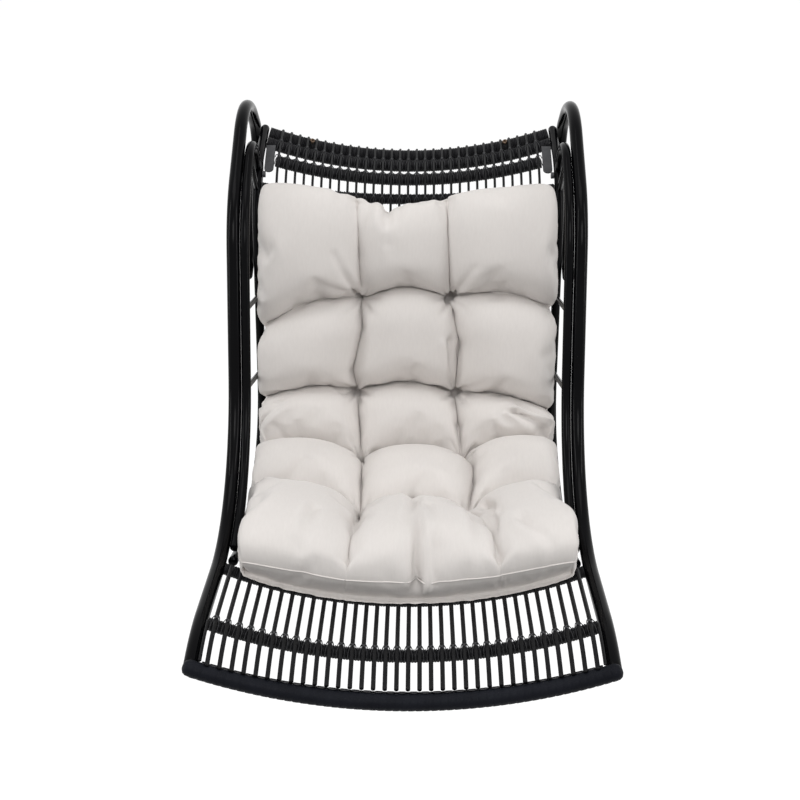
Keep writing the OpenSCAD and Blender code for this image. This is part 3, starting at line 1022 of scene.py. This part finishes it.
def finish_cushion(cushion, seams, material):
    piping_r = 1.4
    rims = Sweeps()
    for seam in seams:
        closed = np.concatenate([seam, seam[:1]])
        rims.add(closed, curve_normals(closed), piping_r * MM, 8)
    rims.object("cushion_piping", material, "cushion_cloth")
    cushion.data.materials.append(material)
    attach(cushion, "root")
    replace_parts(cushion, "cushion")


# ---- Camera, floor and light ----


def build_camera():
    """In front and 30 degrees above level, as in the photograph."""
    lens = bpy.data.cameras.new("camera")
    lens.lens = 56.25
    lens.sensor_width = 36
    camera = linked("camera", lens)
    camera.location = (0.0165, -2.4516, 0.7469)
    camera.rotation_euler = (math.radians(60), 0, math.radians(0.773))
    bpy.context.scene.camera = camera


def math_node(tree, operation, *values):
    """The result of a node with values that are numbers or sockets."""
    made = tree.nodes.new("ShaderNodeMath")
    made.operation = operation
    for socket, value in zip(made.inputs, values):
        if isinstance(value, bpy.types.NodeSocket):
            tree.links.new(value, socket)
        else:
            socket.default_value = value
    return made.outputs[0]


def background_rays(tree, path):
    """1 for rays that see the background: from the camera, reflected or transmitted."""
    total = path.outputs["Is Camera Ray"]
    for name in ("Is Glossy Ray", "Is Transmission Ray"):
        total = math_node(tree, "MAXIMUM", total, path.outputs[name])
    return total


def build_world():
    """White to the camera and in reflections. As light it has one strength all round."""
    light_strength = 0.52
    world = bpy.data.worlds.new("studio")
    world.use_nodes = True
    bpy.context.scene.world = world
    tree = world.node_tree
    background = tree.nodes["Background"]
    background.inputs["Color"].default_value = (1, 1, 1, 1)
    path = tree.nodes.new("ShaderNodeLightPath")
    light = math_node(tree, "MULTIPLY", path.outputs["Is Diffuse Ray"], light_strength)
    total = math_node(tree, "MAXIMUM", background_rays(tree, path), light)
    tree.links.new(total, background.inputs["Strength"])


def build_floor():
    """A pale floor that shows as white and keeps the object's shadow."""
    size, level, glow = 30, -2.2, 0.85
    mesh = bpy.data.meshes.new("floor")
    corners = [(-size, -size), (size, -size), (size, size), (-size, size)]
    mesh.from_pydata([(x, y, level) for x, y in corners], [], [(0, 1, 2, 3)])
    s = Shader(
        "floor_white",
        Roughness=0.9,
        Specular_IOR_Level=0.0,
        Base_Color=(0.3, 0.3, 0.3, 1),
        Emission_Color=(1, 1, 1, 1),
    )
    rays = background_rays(s.tree, s.node("LightPath"))
    s.link(s.math("MULTIPLY", rays, glow), "Emission Strength")
    mesh.materials.append(s.material)
    linked("floor", mesh)


def softbox(name, location, aim, size, power):
    """A rectangular lamp of a size in metres and a power in watts."""
    data = bpy.data.lights.new(name, "AREA")
    data.shape = "RECTANGLE"
    data.size, data.size_y = size
    data.energy = power
    lamp = linked(name, data)
    lamp.location = location
    direction = Vector(aim) - Vector(location)
    lamp.rotation_euler = direction.to_track_quat("-Z", "Y").to_euler()


def build_lights():
    target = (0, -0.1, -0.3)
    softbox("strip_left", (-2.6, -0.9, 0.9), target, (0.35, 2.4), 26)
    softbox("strip_right", (2.6, -0.9, 0.9), target, (0.35, 2.4), 26)
    softbox("overhead", (-0.3, -0.5, 2.9), target, (2.2, 1.6), 29)
    softbox("front", (0.5, -3.2, 2.3), target, (1.6, 1.2), 39)


# ---- The whole ----


def main():
    build_camera()
    build_world()
    build_floor()
    build_lights()

    coat = powder_coat()
    strand = rattan("synthetic_rattan_black", (0.002, 0.002, 0.0025), (0.007, 0.007, 0.008))
    # The ties are the strands' black rattan painted lighter grey: a painted highlight
    lash = rattan("lashing_cord_painted_highlight", (0.03, 0.03, 0.032), (0.085, 0.085, 0.09))
    build_tubes(coat)
    build_strands(strand)
    build_rails(wound_cord(), banded_rail())
    build_lashings(lash)
    build_front_cord(strand, lash)
    paint = bracket_paint()
    for name, material in (
        ("hoop_struts_left", coat),
        ("hoop_struts_right", coat),
        ("corner_bracket_left", paint),
        ("corner_bracket_right", paint),
        ("bracket_bolts", paint),
        ("top_rail_nuts", bronze()),
    ):
        nodes[name].material_slots[0].material = material

    cushion, seams = build_cushion()
    finish_cushion(cushion, seams, cloth())

    bpy.context.scene.view_settings.view_transform = "Standard"


main()
